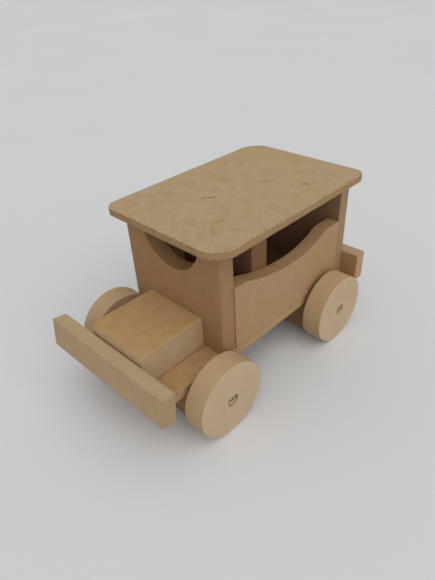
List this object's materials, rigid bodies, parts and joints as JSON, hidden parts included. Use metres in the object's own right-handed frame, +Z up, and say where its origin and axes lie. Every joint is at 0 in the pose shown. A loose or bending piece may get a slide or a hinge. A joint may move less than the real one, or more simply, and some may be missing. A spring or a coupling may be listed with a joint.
{
  "type": "wooden toy car",
  "caption": "Small toy car of bare fibreboard with a roofed open-sided cab, a bonnet block, bumper bars and disc wheels on turning dowel axles.",
  "frame": {"origin": "on the ground, at the middle of the whole car's box seen from above", "axes": "+Y points to the car's rear, +X to the car's own left side, +Z up"},
  "size_m": [0.116, 0.1966, 0.1155],
  "materials": {
    "floor_board": "bare sanded fibreboard",
    "cab_board": "bare sanded fibreboard",
    "roof_board": "bare sanded fibreboard, slightly paler",
    "block_board": "bare sanded fibreboard",
    "bumper_board": "bare sanded fibreboard",
    "dowel": "bare hardwood dowel",
    "wheel_board": "bare fibreboard, paler and finer"
  },
  "bodies": {
    "car_body": {"base_plate": "floor_board", "front_panel": "cab_board", "rear_panel": "cab_board", "left_side_panel": "cab_board", "right_side_panel": "cab_board", "cab_partition": "cab_board", "roof": "roof_board", "bonnet_block": "block_board", "front_bumper": "bumper_board", "rear_bumper": "bumper_board", "front_axle_block": "block_board", "rear_axle_block": "block_board"},
    "front_wheelset": {"front_axle": "dowel", "front_left_wheel": "wheel_board", "front_right_wheel": "wheel_board"},
    "rear_wheelset": {"rear_axle": "dowel", "rear_left_wheel": "wheel_board", "rear_right_wheel": "wheel_board"}
  },
  "joints": [
    {"name": "front_wheels_roll", "type": "hinge", "parent": "car_body", "child": "front_wheelset", "pos_m": [0, -0.05053, 0.025], "axis": [1, 0, 0], "continuous": true},
    {"name": "rear_wheels_roll", "type": "hinge", "parent": "car_body", "child": "rear_wheelset", "pos_m": [0, 0.06198, 0.025], "axis": [1, 0, 0], "continuous": true}
  ]
}
